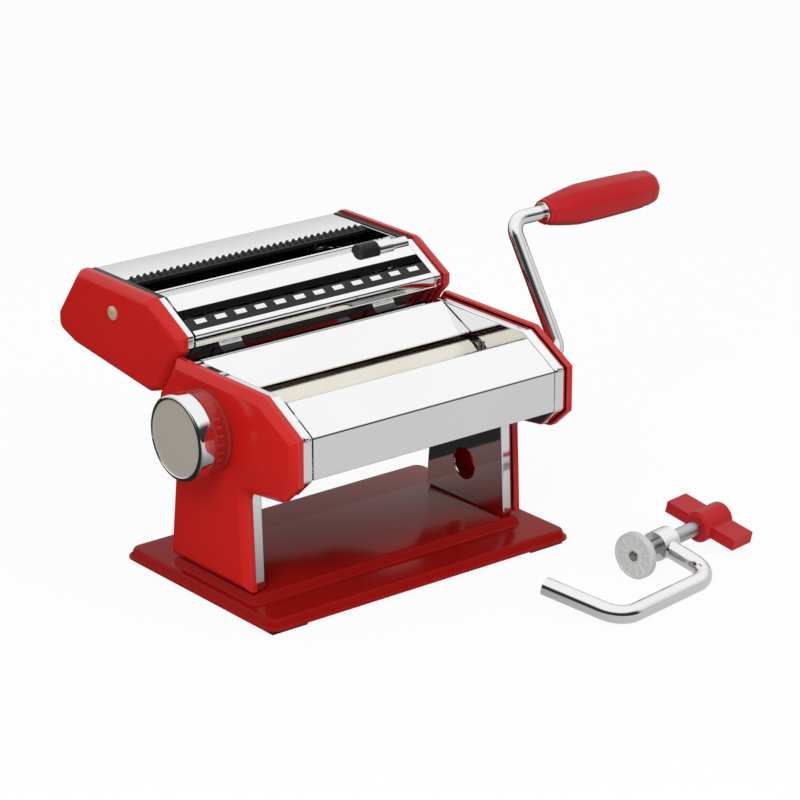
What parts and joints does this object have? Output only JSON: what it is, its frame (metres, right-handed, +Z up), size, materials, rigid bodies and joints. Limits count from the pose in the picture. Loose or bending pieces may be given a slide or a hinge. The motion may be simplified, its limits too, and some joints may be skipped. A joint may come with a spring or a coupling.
{
  "type": "hand cranked pasta roller machine",
  "caption": "Hand cranked pasta machine: paired sheet rollers with a thickness knob, a two-width cutter head, a removable crank and a loose table clamp.",
  "frame": {"origin": "on the table, in the middle of the whole footprint, crank and loose clamp included", "axes": "+X along the rollers towards the crank, +Y towards the cutter head at the back, +Z up from the table"},
  "size_m": [0.335, 0.2955, 0.1715],
  "materials": {
    "red_paint": "gloss red enamel on pressed steel",
    "chrome_sheet": "mirror bright plated sheet",
    "chrome_rod": "bright plated bar",
    "roller_steel": "fine turned, satin",
    "steel": "machined",
    "spring_sheet": "thin bright sheet",
    "zinc": "dull zinc plate",
    "brass": "turned",
    "black_rubber": "matt black",
    "red_plastic": "semi-gloss red",
    "dial_paint": "gloss red",
    "satin_metal": "satin face, polished rim",
    "grey_plastic": "pale grey, satin"
  },
  "bodies": {
    "machine": {"base_plate": "red_paint", "rubber_feet": "black_rubber", "left_frame": "chrome_sheet", "right_frame": "chrome_sheet", "frame_screws": "zinc", "left_cover": "red_paint", "right_cover": "red_paint", "cover_screws": "zinc", "front_cover": "chrome_sheet", "hopper_plate": "chrome_sheet", "rear_cover": "chrome_sheet", "tie_rods": "steel", "tie_rod_nuts": "zinc", "front_scraper": "spring_sheet", "front_bushes": "brass", "guide_rails": "chrome_sheet", "dial_collar": "dial_paint"},
    "carriage": {"carriage_left": "steel", "carriage_right": "steel", "carriage_bracket": "spring_sheet", "rear_scraper": "spring_sheet"},
    "front_sheet_roller": {"front_roller": "roller_steel", "front_gear": "steel"},
    "rear_sheet_roller": {"rear_roller": "roller_steel", "rear_gear": "steel"},
    "regulator": {"regulator_shaft": "steel"},
    "knob": {"regulator_knob": "satin_metal"},
    "crank": {"crank_arm": "chrome_rod"},
    "grip": {"crank_grip": "red_plastic", "grip_washer": "chrome_rod"},
    "cutter_head": {"cutter_left_frame": "chrome_sheet", "cutter_right_frame": "chrome_sheet", "cutter_left_cap": "red_paint", "cutter_right_cap": "red_paint", "cap_screws": "zinc", "cutter_rear_plate": "chrome_sheet", "cutter_centre_plate": "chrome_sheet", "cutter_front_plate": "chrome_sheet", "fine_combs": "spring_sheet", "wide_combs": "spring_sheet", "cutter_tie_rods": "steel", "cutter_bushes": "brass", "cutter_hooks": "chrome_sheet"},
    "wide_front_roller": {"wide_front_cutter": "roller_steel", "wide_front_gear": "steel"},
    "wide_rear_roller": {"wide_rear_cutter": "roller_steel", "wide_rear_gear": "steel"},
    "fine_front_roller": {"fine_front_cutter": "roller_steel", "fine_front_gear": "steel"},
    "fine_rear_roller": {"fine_rear_cutter": "roller_steel", "fine_rear_gear": "steel"},
    "clamp": {"clamp_frame": "chrome_rod"},
    "clamp_pad": {"clamp_disc": "grey_plastic"},
    "clamp_spindle": {"clamp_screw": "zinc", "clamp_handle": "red_plastic"}
  },
  "joints": [
    {"name": "crank_spin", "type": "hinge", "parent": "machine", "child": "front_sheet_roller", "pos_m": [-0.055, -0.0182, 0.0945], "axis": [1, 0, 0], "continuous": true},
    {"name": "crank_pull_out", "type": "slide", "parent": "front_sheet_roller", "child": "crank", "axis": [1, 0, 0], "range_m": [0, 0.028]},
    {"name": "grip_spin", "type": "hinge", "parent": "crank", "child": "grip", "pos_m": [0.127, 0.02394, 0.16014], "axis": [1, 0, 0], "continuous": true},
    {"name": "regulator_turn", "type": "hinge", "parent": "machine", "child": "regulator", "pos_m": [-0.153, 0.0078, 0.0945], "axis": [-1, 0, 0], "range_deg": [0, 180]},
    {"name": "knob_pull", "type": "slide", "parent": "regulator", "child": "knob", "axis": [-1, 0, 0], "range_m": [0, 0.004], "stiffness_N_per_m": 1000, "springref_m": -0.004},
    {"name": "thickness_slide", "type": "slide", "parent": "machine", "child": "carriage", "axis": [0, 1, 0], "range_m": [0, 0.0024]},
    {"name": "rear_roller_spin", "type": "hinge", "parent": "carriage", "child": "rear_sheet_roller", "pos_m": [-0.055, 0.0078, 0.0945], "axis": [1, 0, 0], "continuous": true},
    {"name": "cutter_head_slide", "type": "slide", "parent": "machine", "child": "cutter_head", "axis": [0, -0.5591, 0.8291], "range_m": [0, 0.04]},
    {"name": "wide_front_spin", "type": "hinge", "parent": "cutter_head", "child": "wide_front_roller", "pos_m": [-0.055, 0.0553, 0.127], "axis": [1, 0, 0], "continuous": true},
    {"name": "wide_rear_spin", "type": "hinge", "parent": "cutter_head", "child": "wide_rear_roller", "pos_m": [-0.055, 0.0713, 0.127], "axis": [1, 0, 0], "continuous": true},
    {"name": "fine_front_spin", "type": "hinge", "parent": "cutter_head", "child": "fine_front_roller", "pos_m": [-0.055, 0.0903, 0.127], "axis": [1, 0, 0], "continuous": true},
    {"name": "fine_rear_spin", "type": "hinge", "parent": "cutter_head", "child": "fine_rear_roller", "pos_m": [-0.055, 0.1063, 0.127], "axis": [1, 0, 0], "continuous": true},
    {"name": "clamp_lift", "type": "slide", "parent": "machine", "child": "clamp", "axis": [0, 0, 1], "range_m": [0, 0.06]},
    {"name": "clamp_screw_feed", "type": "slide", "parent": "clamp", "child": "clamp_pad", "axis": [-0.9877, -0.1564, 0], "range_m": [-0.006, 0.018]},
    {"name": "clamp_screw_turn", "type": "hinge", "parent": "clamp_pad", "child": "clamp_spindle", "pos_m": [0.08937, -0.09475, 0.01253], "axis": [-0.9877, -0.1564, 0], "range_deg": [-1440, 4320]}
  ],
  "couplings": [
    {"joint": "rear_roller_spin", "follows": "crank_spin", "ratio": -1},
    {"joint": "thickness_slide", "follows": "regulator_turn", "m_per_rad": 0.00076394},
    {"joint": "wide_rear_spin", "follows": "wide_front_spin", "ratio": -1},
    {"joint": "fine_rear_spin", "follows": "fine_front_spin", "ratio": -1},
    {"joint": "clamp_screw_turn", "follows": "clamp_screw_feed", "rad_per_m": 4188.8}
  ]
}
